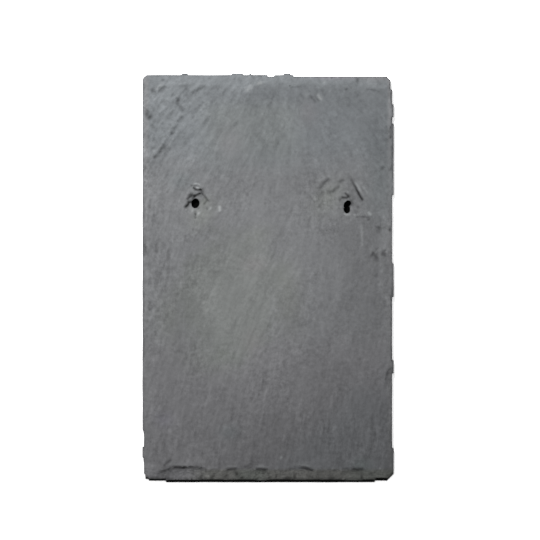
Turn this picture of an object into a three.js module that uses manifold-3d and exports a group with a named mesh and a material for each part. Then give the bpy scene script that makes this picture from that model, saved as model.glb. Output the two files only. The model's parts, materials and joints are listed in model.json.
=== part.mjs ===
// Slate roof tile: one piece of riven slate, dressed on its four edges and punched for two nails.
// It lies on its flat bed. +Z is the weather face, +Y is the head and +X is the right-hand side.
// Lengths are in millimetres.
import * as THREE from "three";
import { mergeVertices } from "three/addons/utils/BufferGeometryUtils.js";
import Module from "manifold-3d";

const wasm = await Module();
wasm.setup();

// Blank
const slateLength = 400;
const slateWidth = 246.9;
const slateThickness = 8;
const slateColour = 0x7d7f82;

// Riven face: long swells that run with the grain, on a grid of this step
const faceStep = 10;
const grainAngle = 62;
const swells = [
  { length: 118, height: 0.4, turn: 0, shift: 0.4 },
  { length: 67, height: 0.22, turn: 14, shift: 2.1 },
  { length: 205, height: 0.35, turn: -38, shift: 5.2 },
];

// Dressed edges: a steep broken wall under a margin that slopes down from the face
const marginDepth = 2.2;
const tailLean = 3.4;
const headLean = 1.6;
const sideLean = 0.4;
const tailMargin = 12.4;
const headMargin = 9.5;
const sideMargin = 1.1;

// Corners that the dressing knocked off, as distances along the side and along the end
const headLeftCorner = { side: 4.2, end: 4 };
const headRightCorner = { side: 5.3, end: 7 };
const tailLeftCorner = { side: 3.5, end: 3.5 };
const tailRightCorner = { side: 8.1, end: 6.7 };

// Outline: it wavers by edgeWaver, and stretches of it stand in from the edge's line by the third number.
// They run in +X on the head and tail, and in +Y on the sides. One that starts or ends beyond the edge
// has no step there. Between steps the line has a point every outlineStep, none nearer one than leastStep.
const outlineStep = 10;
const leastStep = 1.5;
const edgeWaver = 0.1;
const stepRun = 0.8;
const nib = 1.6;
const setIn = 1.55;
const beyond = 300;
const headStretches = [
  [-beyond, -84.8, nib],
  [-78.6, -35.5, nib],
  [-24.4, -18.3, nib],
  [-16.4, 15.4, nib],
  [-0.4, 5.9, setIn],
  [21.9, beyond, nib],
  [25, beyond, setIn],
];
const tailStretches = [
  [-beyond, -117.1, setIn],
  [-beyond, -100.1, setIn],
  [105, beyond, setIn],
];
const leftStretches = [
  [-beyond, -191.8, setIn],
  [-beyond, -175.8, setIn],
  [-164.9, -149.1, setIn],
];
const rightStretches = [
  [-166.3, -93.2, setIn],
  [-80.1, -18.2, setIn],
  [15.2, 81.9, setIn],
  [151.9, 158.3, setIn],
  [171, beyond, setIn],
  [185.4, beyond, setIn],
];

// Flake scars that the slater's knife left: place along the edge, width, reach in from it, and depth
const tailScars = [
  { at: -81, width: 80, reach: 15.6, depth: 3.6 },
  { at: -54, width: 36, reach: 13.2, depth: 2.9 },
  { at: -37, width: 30, reach: 13.6, depth: 3.6 },
  { at: -20.5, width: 36, reach: 17, depth: 2.6 },
  { at: -6.4, width: 25, reach: 13.6, depth: 4.2 },
  { at: 11, width: 38, reach: 12.6, depth: 2.9 },
  { at: 31, width: 52, reach: 16.4, depth: 3.2 },
  { at: 53, width: 38, reach: 12.8, depth: 2.9 },
  { at: 65, width: 27, reach: 14, depth: 2.8 },
  { at: 84, width: 44, reach: 13.6, depth: 4.2 },
  { at: 108, width: 36, reach: 12.8, depth: 2.9 },
];
const headScars = [
  { at: -107, width: 37, reach: 12, depth: 3.2 },
  { at: -84, width: 37, reach: 9.8, depth: 3.8 },
  { at: -59, width: 46, reach: 11.4, depth: 3.2 },
  { at: -31, width: 49, reach: 16, depth: 3 },
  { at: -4, width: 39, reach: 11.4, depth: 3.6 },
  { at: 21, width: 41, reach: 10.8, depth: 3.8 },
  { at: 46, width: 44, reach: 13.6, depth: 3.2 },
  { at: 70, width: 39, reach: 11.8, depth: 4 },
  { at: 94, width: 37, reach: 14.2, depth: 3.4 },
  { at: 113, width: 27, reach: 11.4, depth: 3.8 },
];
const leftScars = [
  { at: -183, width: 17, reach: 3.4, depth: 2 },
  { at: -146, width: 37, reach: 3, depth: 2.2 },
  { at: -108, width: 32, reach: 3.4, depth: 1.8 },
  { at: -66, width: 41, reach: 2.8, depth: 2.4 },
  { at: -24, width: 34, reach: 3.2, depth: 2 },
  { at: 25.4, width: 17, reach: 7.4, depth: 2.4 },
  { at: 62, width: 37, reach: 3, depth: 2.2 },
  { at: 104, width: 37, reach: 3.6, depth: 1.8 },
  { at: 142, width: 51, reach: 9, depth: 1.4 },
  { at: 161, width: 14, reach: 8.4, depth: 2.6 },
  { at: 184, width: 25, reach: 3.6, depth: 2 },
];
const rightScars = [
  { at: -181, width: 21, reach: 2.8, depth: 1.6 },
  { at: -144, width: 39, reach: 2.6, depth: 1.8 },
  { at: -97, width: 21, reach: 8, depth: 1.6 },
  { at: -62, width: 41, reach: 2.8, depth: 1.6 },
  { at: -22, width: 32, reach: 3.2, depth: 1.4 },
  { at: 12, width: 32, reach: 15, depth: 0.8 },
  { at: 24, width: 13, reach: 7, depth: 1.2 },
  { at: 48, width: 23, reach: 9, depth: 1 },
  { at: 86, width: 23, reach: 6, depth: 1.4 },
  { at: 118, width: 34, reach: 2.8, depth: 1.6 },
  { at: 144, width: 23, reach: 3.6, depth: 1.4 },
  { at: 178, width: 28, reach: 3.2, depth: 1.6 },
];
const scarSides = 16;
const scarRings = 10;
const scarLift = 0.35;

// Nail holes: oval, punched from the bed. The right-hand one took a second blow beside the first.
const holeSides = 14;
const leftHole = { x: -71.1, y: 73.6, width: 7.8, length: 9.5, turn: -12 };
const rightHole = { x: 77.4, y: 67.8, width: 6.2, length: 7.8, turn: 4 };
const secondBlow = { x: 0.3, y: 5, width: 5.8, length: 8.4, turn: -42 };

// The spall that each blow burst off the face, with its middle set off from the hole
const craterSides = 9;
const craterFloor = 0.25;
const craterJag = 0.2;
const craterTeeth = 3;
const leftCrater = { x: 0.7, y: 2, width: 22, length: 21, depth: 1.4, turn: 80 };
const rightCrater = { x: 0.6, y: 3.4, width: 20, length: 18, depth: 1.2, turn: 95 };

// Cleft ledges: where a thin leaf of stone came away, a dish that fades out all round but for the sharp
// step along the leaf's own outline
const leafStep = 7;
const leaves = [
  {
    dish: { x: -92, y: 140, width: 110, length: 132, depth: 0.6 },
    outline: [
      [-88, 210],
      [-90.5, 176],
      [-84, 160],
      [-91, 148],
      [-101.5, 130.5],
      [-112.5, 118.5],
      [-117, 70],
      [-20, 70],
      [-20, 210],
    ],
  },
  {
    dish: { x: 84, y: 82, width: 54, length: 62, depth: 1.1 },
    outline: [
      [79.8, 101.6],
      [93.2, 75.8],
      [88, 60],
      [62, 52],
      [54, 78],
      [64, 90],
    ],
  },
];

const faceLevel = slateThickness;
const clearance = 4;

function radians(degrees) {
  return THREE.MathUtils.degToRad(degrees);
}

// A three.js geometry as a solid for joining and cutting
function solidOf(geometry) {
  const bare = geometry.clone();
  bare.deleteAttribute("normal");
  bare.deleteAttribute("uv");
  const merged = mergeVertices(bare, 1e-4);
  return new wasm.Manifold(
    new wasm.Mesh({
      numProp: 3,
      vertProperties: merged.attributes.position.array,
      triVerts: new Uint32Array(merged.index.array),
    }),
  );
}

// A solid back as a three.js geometry
function geometryOf(solid) {
  const mesh = solid.getMesh();
  const geometry = new THREE.BufferGeometry();
  geometry.setAttribute("position", new THREE.BufferAttribute(new Float32Array(mesh.vertProperties), 3));
  geometry.setIndex(new THREE.BufferAttribute(new Uint32Array(mesh.triVerts), 1));
  geometry.computeVertexNormals();
  return geometry;
}

// Height of the riven face above the bed
function faceHeight(x, y) {
  let height = faceLevel;
  for (const swell of swells) {
    const across = radians(grainAngle + swell.turn - 90);
    const run = x * Math.cos(across) + y * Math.sin(across);
    height += swell.height * Math.sin((2 * Math.PI * run) / swell.length + swell.shift);
  }
  return height;
}

// How far the edge stands in from its line at a place along it
function standIn(along, stretches) {
  let inset = edgeWaver * (1 + Math.sin(along / 7.3) * Math.cos(along / 17.9));
  for (const [from, to, depth] of stretches) {
    const rise = THREE.MathUtils.smoothstep(along, from - stepRun / 2, from + stepRun / 2);
    const fall = THREE.MathUtils.smoothstep(along, to - stepRun / 2, to + stepRun / 2);
    inset += depth * (rise - fall);
  }
  return inset;
}

// Places along an edge where its line needs a point: both ends of each step, and a regular pace between them
function edgeStations(start, end, stretches) {
  const corners = [start, end];
  for (const [from, to] of stretches) {
    corners.push(from - stepRun / 2, from + stepRun / 2, to - stepRun / 2, to + stepRun / 2);
  }
  const stations = corners.filter((along) => along >= start && along <= end);
  for (let along = start + outlineStep; along < end; along += outlineStep) {
    if (corners.every((corner) => Math.abs(corner - along) > leastStep)) {
      stations.push(along);
    }
  }
  return stations.sort((a, b) => a - b);
}

// The four lines of the outline on the bed, anticlockwise, each from the end of one corner to the next
function outlineLines() {
  const halfWidth = slateWidth / 2;
  const halfLength = slateLength / 2;
  const tailStart = -halfWidth + tailLeftCorner.end;
  const tailEnd = halfWidth - tailRightCorner.end;
  const rightStart = -halfLength + tailRightCorner.side;
  const rightEnd = halfLength - headRightCorner.side;
  const headStart = -halfWidth + headLeftCorner.end;
  const headEnd = halfWidth - headRightCorner.end;
  const leftStart = -halfLength + tailLeftCorner.side;
  const leftEnd = halfLength - headLeftCorner.side;
  const tail = edgeStations(tailStart, tailEnd, tailStretches);
  const right = edgeStations(rightStart, rightEnd, rightStretches);
  const head = edgeStations(headStart, headEnd, headStretches).reverse();
  const left = edgeStations(leftStart, leftEnd, leftStretches).reverse();
  return {
    tail: tail.map((x) => new THREE.Vector2(x, -halfLength + standIn(x, tailStretches))),
    right: right.map((y) => new THREE.Vector2(halfWidth - standIn(y, rightStretches), y)),
    head: head.map((x) => new THREE.Vector2(x, halfLength + nib - standIn(x, headStretches))),
    left: left.map((y) => new THREE.Vector2(-halfWidth + standIn(y, leftStretches), y)),
  };
}

// A shape carried up through the levels, with its points moved at each by the lean there
function carriedUp(points, levels, lean) {
  const storeys = levels.length - 1;
  const settings = { depth: storeys, steps: storeys, bevelEnabled: false };
  const solid = new THREE.ExtrudeGeometry(new THREE.Shape(points), settings);
  const place = solid.attributes.position;
  for (let i = 0; i < place.count; i += 1) {
    const level = levels[Math.round(place.getZ(i))];
    const [x, y] = lean(place.getX(i), place.getY(i), level);
    place.setXYZ(i, x, y, level.z);
  }
  return solidOf(solid);
}

// The outline carried up through the thickness: leaning walls, then the margins that slope to the face.
// It is what two solids share: the sides, run on past the ends, and the ends with the knocked-off
// corners, run on past the sides.
function dressedBlank() {
  const wallTop = slateThickness - marginDepth;
  const blankTop = slateThickness + clearance;
  const climb = (blankTop - wallTop) / marginDepth;
  const levels = [
    { z: 0, side: 0, tail: 0, head: 0 },
    { z: wallTop, side: sideLean, tail: tailLean, head: headLean },
    {
      z: blankTop,
      side: sideLean + (sideMargin - sideLean) * climb,
      tail: tailLean + (tailMargin - tailLean) * climb,
      head: headLean + (headMargin - headLean) * climb,
    },
  ];
  const { tail, right, head, left } = outlineLines();
  const [rightFoot, rightTop] = [right.at(0), right.at(-1)];
  const [leftTop, leftFoot] = [left.at(0), left.at(-1)];
  const sides = [
    new THREE.Vector2(rightFoot.x, -slateLength),
    ...right,
    new THREE.Vector2(rightTop.x, slateLength),
    new THREE.Vector2(leftTop.x, slateLength),
    ...left,
    new THREE.Vector2(leftFoot.x, -slateLength),
  ];
  const ends = [
    new THREE.Vector2(-slateWidth, leftFoot.y),
    leftFoot,
    ...tail,
    rightFoot,
    new THREE.Vector2(slateWidth, rightFoot.y),
    new THREE.Vector2(slateWidth, rightTop.y),
    rightTop,
    ...head,
    leftTop,
    new THREE.Vector2(-slateWidth, leftTop.y),
  ];
  const leanSides = (x, y, level) => [x * (1 - (2 * level.side) / slateWidth), y];
  const leanEnds = (x, y, level) => {
    const end = y > 0 ? level.head : level.tail;
    return [x, y * (1 - (2 * end) / slateLength)];
  };
  return carriedUp(sides, levels, leanSides).intersect(carriedUp(ends, levels, leanEnds));
}

// Everything below the riven face, wider than the outline all round
function belowRivenFace() {
  const width = slateWidth + 2 * clearance;
  const length = slateLength + 2 * clearance + 2 * nib;
  const columns = Math.ceil(width / faceStep);
  const rows = Math.ceil(length / faceStep);
  const block = new THREE.BoxGeometry(width, length, 2, columns, rows, 1);
  const place = block.attributes.position;
  for (let i = 0; i < place.count; i += 1) {
    const top = place.getZ(i) > 0;
    place.setZ(i, top ? faceHeight(place.getX(i), place.getY(i)) : -clearance);
  }
  return solidOf(block);
}

// One conchoidal flake scar: a bowl over the edge whose middle is a little above the face
function scarCutter(scar, edge) {
  const bowl = new THREE.SphereGeometry(1, scarSides, scarRings);
  const rise = scarLift * scar.depth;
  const spread = 1 / Math.sqrt(1 - (scarLift / (1 + scarLift)) ** 2);
  bowl.rotateX(Math.PI / 2);
  bowl.scale((spread * scar.width) / 2, spread * scar.reach, scar.depth + rise);
  bowl.translate(scar.at, edge.distance, 0);
  bowl.rotateZ(edge.turn);
  bowl.translate(0, 0, faceLevel + rise);
  return solidOf(bowl);
}

// An oval punched straight through
function punchCutter(centre, hole) {
  const punch = new THREE.CylinderGeometry(0.5, 0.5, slateThickness + 2 * clearance, holeSides);
  punch.rotateX(Math.PI / 2);
  punch.scale(hole.width, hole.length, 1);
  punch.rotateZ(radians(hole.turn));
  punch.translate(centre.x, centre.y, slateThickness / 2);
  return solidOf(punch);
}

// The spall round a hole: a shallow cone with a jagged rim, of radius 1 at the face before it is scaled
function craterCutter(centre, crater) {
  const mouth = 2 - craterFloor;
  const cone = new THREE.CylinderGeometry(mouth, craterFloor, 2 * crater.depth, craterSides);
  cone.rotateX(Math.PI / 2);
  const place = cone.attributes.position;
  for (let i = 0; i < place.count; i += 1) {
    const angle = Math.atan2(place.getY(i), place.getX(i));
    const jag = 1 + craterJag * Math.cos(craterTeeth * angle);
    place.setXYZ(i, place.getX(i) * jag, place.getY(i) * jag, place.getZ(i));
  }
  cone.scale(crater.width / 2, crater.length / 2, 1);
  cone.rotateZ(radians(crater.turn));
  cone.translate(centre.x + crater.x, centre.y + crater.y, faceLevel);
  return solidOf(cone);
}

// A leaf of stone that came away: everything above a dished floor, cut off along the leaf's outline
function leafCutter({ dish, outline }) {
  const columns = Math.ceil(dish.width / leafStep);
  const rows = Math.ceil(dish.length / leafStep);
  const block = new THREE.BoxGeometry(dish.width, dish.length, 2, columns, rows, 1);
  const place = block.attributes.position;
  for (let i = 0; i < place.count; i += 1) {
    const x = place.getX(i);
    const y = place.getY(i);
    const outward = (2 * x / dish.width) ** 2 + (2 * y / dish.length) ** 2;
    const floor = faceHeight(x + dish.x, y + dish.y) - dish.depth * (1 - outward);
    place.setZ(i, place.getZ(i) < 0 ? floor : slateThickness + 2 * clearance);
  }
  block.translate(dish.x, dish.y, 0);
  const corners = outline.map(([x, y]) => new THREE.Vector2(x, y));
  const settings = { depth: 3 * clearance, bevelEnabled: false };
  const prism = new THREE.ExtrudeGeometry(new THREE.Shape(corners), settings);
  prism.translate(0, 0, faceLevel - clearance);
  return solidOf(block).intersect(solidOf(prism));
}

function slateSolid() {
  const edges = [
    { scars: tailScars, distance: slateLength / 2, turn: Math.PI, flip: -1 },
    { scars: headScars, distance: slateLength / 2, turn: 0, flip: 1 },
    { scars: leftScars, distance: slateWidth / 2, turn: Math.PI / 2, flip: 1 },
    { scars: rightScars, distance: slateWidth / 2, turn: -Math.PI / 2, flip: -1 },
  ];
  const cutters = [];
  for (const edge of edges) {
    for (const scar of edge.scars) {
      cutters.push(scarCutter({ ...scar, at: scar.at * edge.flip }, edge));
    }
  }
  const second = { x: rightHole.x + secondBlow.x, y: rightHole.y + secondBlow.y };
  cutters.push(punchCutter(leftHole, leftHole));
  cutters.push(punchCutter(rightHole, rightHole));
  cutters.push(punchCutter(second, secondBlow));
  cutters.push(craterCutter(leftHole, leftCrater));
  cutters.push(craterCutter(rightHole, rightCrater));
  for (const leaf of leaves) {
    cutters.push(leafCutter(leaf));
  }
  let slate = dressedBlank().intersect(belowRivenFace());
  for (const cutter of cutters) {
    slate = slate.subtract(cutter);
  }
  return slate;
}

const stone = new THREE.MeshStandardMaterial({ color: slateColour, roughness: 0.8, metalness: 0 });
const slate = new THREE.Mesh(geometryOf(slateSolid()), stone);
slate.name = "slate_tile";

// The origin is under the middle of the slate's box
slate.geometry.computeBoundingBox();
const middle = slate.geometry.boundingBox.getCenter(new THREE.Vector3());
slate.position.set(-middle.x, -middle.y, 0);

const group = new THREE.Group();
group.add(slate);

export default group;
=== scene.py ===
import json
import math

import bmesh
import bpy
import numpy as np
from mathutils import Matrix, Vector


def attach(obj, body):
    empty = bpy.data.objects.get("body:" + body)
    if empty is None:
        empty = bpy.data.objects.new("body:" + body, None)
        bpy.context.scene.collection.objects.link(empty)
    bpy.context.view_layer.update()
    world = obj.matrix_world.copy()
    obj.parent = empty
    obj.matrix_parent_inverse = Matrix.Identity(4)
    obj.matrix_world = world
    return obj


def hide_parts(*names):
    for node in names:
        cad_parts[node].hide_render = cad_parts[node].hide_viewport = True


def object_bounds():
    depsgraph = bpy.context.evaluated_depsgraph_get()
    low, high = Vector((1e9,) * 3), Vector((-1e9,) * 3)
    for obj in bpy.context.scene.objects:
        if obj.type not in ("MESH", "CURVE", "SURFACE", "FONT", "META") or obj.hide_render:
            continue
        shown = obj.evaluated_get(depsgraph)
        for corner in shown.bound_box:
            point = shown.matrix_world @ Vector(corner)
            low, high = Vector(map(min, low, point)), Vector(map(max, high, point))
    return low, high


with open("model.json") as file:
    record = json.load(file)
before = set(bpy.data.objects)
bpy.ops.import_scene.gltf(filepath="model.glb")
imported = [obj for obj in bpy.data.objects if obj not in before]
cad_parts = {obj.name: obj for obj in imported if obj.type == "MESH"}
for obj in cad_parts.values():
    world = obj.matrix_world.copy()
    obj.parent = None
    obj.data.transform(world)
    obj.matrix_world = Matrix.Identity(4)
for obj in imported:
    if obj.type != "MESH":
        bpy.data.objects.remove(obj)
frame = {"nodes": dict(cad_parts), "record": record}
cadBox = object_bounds()
scene = bpy.context.scene
mm = 0.001

# The picture: the slate from straight above, its head at the top
picture = {
    "across": 529.9,          # mm of floor from side to side
    "aimX": 2,
    "aimY": 7.6,
    "distance": 4200,
}


def makeCamera(v):
    camera = bpy.data.cameras.new("camera")
    camera.type = "PERSP"
    camera.sensor_width = 36
    camera.lens = 36 * v["distance"] / v["across"]
    camera.clip_start = 0.1
    camera.clip_end = 50
    holder = bpy.data.objects.new("camera", camera)
    holder.location = (v["aimX"] * mm, v["aimY"] * mm, v["distance"] * mm)
    scene.collection.objects.link(holder)
    scene.camera = holder


makeCamera(picture)
print("camera made")

# Studio light: one soft lamp beyond the head's left corner, and a dim room
studio = {
    "lampPlace": (-200, 490, 660),
    "lampSize": 170,
    "lampPower": 5.3,
    "roomStrength": 0.32,
    "floorDrop": 0.1,         # mm of air between the bed and the floor
    "floorColour": 3.7,
    "floorBounce": 0.55,
    "padSize": 24,            # mm across the black rounds of painted shade that lie under the nail holes
    "holeShadeColour": 0.004,
}


def makeLamp(v):
    lamp = bpy.data.lights.new("studioLamp", "AREA")
    lamp.shape = "DISK"
    lamp.size = v["lampSize"] * mm
    lamp.energy = v["lampPower"]
    holder = bpy.data.objects.new("studioLamp", lamp)
    place = Vector(v["lampPlace"]) * mm
    holder.location = place
    holder.rotation_mode = "QUATERNION"
    holder.rotation_quaternion = place.to_track_quat("Z", "Y")
    scene.collection.objects.link(holder)


makeLamp(studio)


# Wraps a socket so that shader maths can be written as expressions
class Wire:
    def __init__(self, tree, socket):
        self.tree = tree
        self.socket = socket

    def maths(self, operation, *others):
        return self.tree.node("ShaderNodeMath", {"operation": operation}, self, *others)

    def __add__(self, other):
        return self.maths("ADD", other)

    def __sub__(self, other):
        return self.maths("SUBTRACT", other)

    def __mul__(self, other):
        return self.maths("MULTIPLY", other)

    def __radd__(self, other):
        return self.maths("ADD", other)

    def __rmul__(self, other):
        return self.maths("MULTIPLY", other)

    def __rsub__(self, other):
        return self.tree.node("ShaderNodeMath", {"operation": "SUBTRACT"}, other, self)

    def least(self, other):
        return self.maths("MINIMUM", other)

    def most(self, other):
        return self.maths("MAXIMUM", other)

    def size(self):
        return self.maths("ABSOLUTE")

    # 0 below low, 1 above high, smooth between
    def between(self, low, high):
        settings = {"interpolation_type": "SMOOTHSTEP"}
        return self.tree.node("ShaderNodeMapRange", settings, self, low, high, 0.0, 1.0)


# The nodes of one material, or of the world
class Tree:
    def __init__(self, name, owner=None):
        self.owner = owner or bpy.data.materials.new(name)
        self.owner.use_nodes = True
        self.nodes = self.owner.node_tree.nodes
        self.links = self.owner.node_tree.links
        self.nodes.clear()
        self.out = self.nodes.new("ShaderNodeOutputWorld" if owner else "ShaderNodeOutputMaterial")

    # Makes a node, with its settings first, then values or links by place or by socket name
    def node(self, kind, settings=None, *values, output=0, **named):
        made = self.nodes.new(kind)
        for key, value in (settings or {}).items():
            setattr(made, key, value)
        sockets = [s for s in made.inputs if s.enabled]
        for socket, value in list(zip(sockets, values)) + [(made.inputs[k], v) for k, v in named.items()]:
            if isinstance(value, Wire):
                self.links.new(value.socket, socket)
            else:
                socket.default_value = value
        outputs = [s for s in made.outputs if s.enabled]
        return Wire(self, outputs[output] if isinstance(output, int) else made.outputs[output])

    def coordinates(self):
        return self.node("ShaderNodeTexCoord", output="Object")

    def attribute(self, name):
        return self.node("ShaderNodeAttribute", {"attribute_name": name}, output="Fac")

    def axes(self, vector):
        parts = self.node("ShaderNodeSeparateXYZ", None, vector)
        outs = parts.socket.node.outputs
        return [Wire(self, out) for out in outs]

    # Object coordinates turned about Z and scaled along each axis
    def turned(self, vector, degrees, scale):
        turn = (0, 0, math.radians(degrees))
        spun = self.node("ShaderNodeVectorRotate", {"rotation_type": "EULER_XYZ"}, vector, Rotation=turn)
        return self.node("ShaderNodeVectorMath", {"operation": "MULTIPLY"}, spun, scale)

    # Noise from -0.5 to 0.5
    def noise(self, vector, scale, detail=4.0, roughness=0.5):
        return self.node("ShaderNodeTexNoise", None, Vector=vector, Scale=scale, Detail=detail,
                         Roughness=roughness) - 0.5

    def mix(self, amount, first, second, blend="MIX"):
        made = self.nodes.new("ShaderNodeMix")
        made.data_type = "RGBA"
        made.blend_type = blend
        for socket, value in zip([made.inputs[0], made.inputs[6], made.inputs[7]], [amount, first, second]):
            if isinstance(value, Wire):
                self.links.new(value.socket, socket)
            else:
                socket.default_value = value
        return Wire(self, made.outputs[2])

    def surface(self, wire):
        self.links.new(wire.socket, self.out.inputs["Surface"])
        return self.owner


def grey(level):
    return (level, level, level, 1)


def ray(tree, kind):
    return tree.node("ShaderNodeLightPath", output="Is " + kind + " Ray")


def shineRays(tree):
    return (ray(tree, "Glossy") + ray(tree, "Transmission")).least(1.0)


def makeStage(name, shape, material):
    mesh = bpy.data.meshes.new(name)
    shape.to_mesh(mesh)
    shape.free()
    mesh.materials.append(material)
    stage = bpy.data.objects.new(name, mesh)
    scene.collection.objects.link(stage)


def makeFloor(v):
    tree = Tree("paleFloor")
    colour = tree.mix(shineRays(tree), grey(v["floorBounce"]), grey(1))
    colour = tree.mix(ray(tree, "Camera"), colour, grey(v["floorColour"]))
    material = tree.surface(tree.node("ShaderNodeBsdfDiffuse", None, colour))
    shape = bmesh.new()
    bmesh.ops.create_grid(shape, x_segments=1, y_segments=1, size=6)
    bmesh.ops.translate(shape, verts=shape.verts, vec=(0, 0, -v["floorDrop"] * mm))
    makeStage("floor", shape, material)


# A black round under each nail hole, as painted shade: it stands in for the shade under the slate, so that the holes
# show dark
def makeHoleShadePads(v, holes):
    tree = Tree("paintedHoleShade")
    material = tree.surface(tree.node("ShaderNodeBsdfDiffuse", None, grey(v["holeShadeColour"])))
    shape = bmesh.new()
    for hole in holes:
        low, high = [Vector(corner) for corner in hole["box_m"]]
        middle = (low + high) / 2
        place = Matrix.Translation((middle.x, middle.y, -v["floorDrop"] / 2 * mm))
        bmesh.ops.create_circle(shape, cap_ends=True, segments=48, radius=v["padSize"] / 2 * mm, matrix=place)
    makeStage("holeShadePads", shape, material)


def makeRoom(v):
    world = bpy.data.worlds.new("room")
    scene.world = world
    world.use_nodes = True
    tree = Tree("room", world)
    white = (ray(tree, "Camera") + shineRays(tree)).least(1.0)
    strength = white * (1 - v["roomStrength"]) + v["roomStrength"]
    tree.surface(tree.node("ShaderNodeBackground", None, grey(1), strength))


makeFloor(studio)
makeHoleShadePads(studio, frame["record"]["physics"]["openings"])
makeRoom(studio)
scene.view_settings.view_transform = "Standard"
print("studio made")

# One dictionary for each row, under the names of the columns
def table(columns, rows):
    return [dict(zip(columns.split(), row)) for row in rows]


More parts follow.
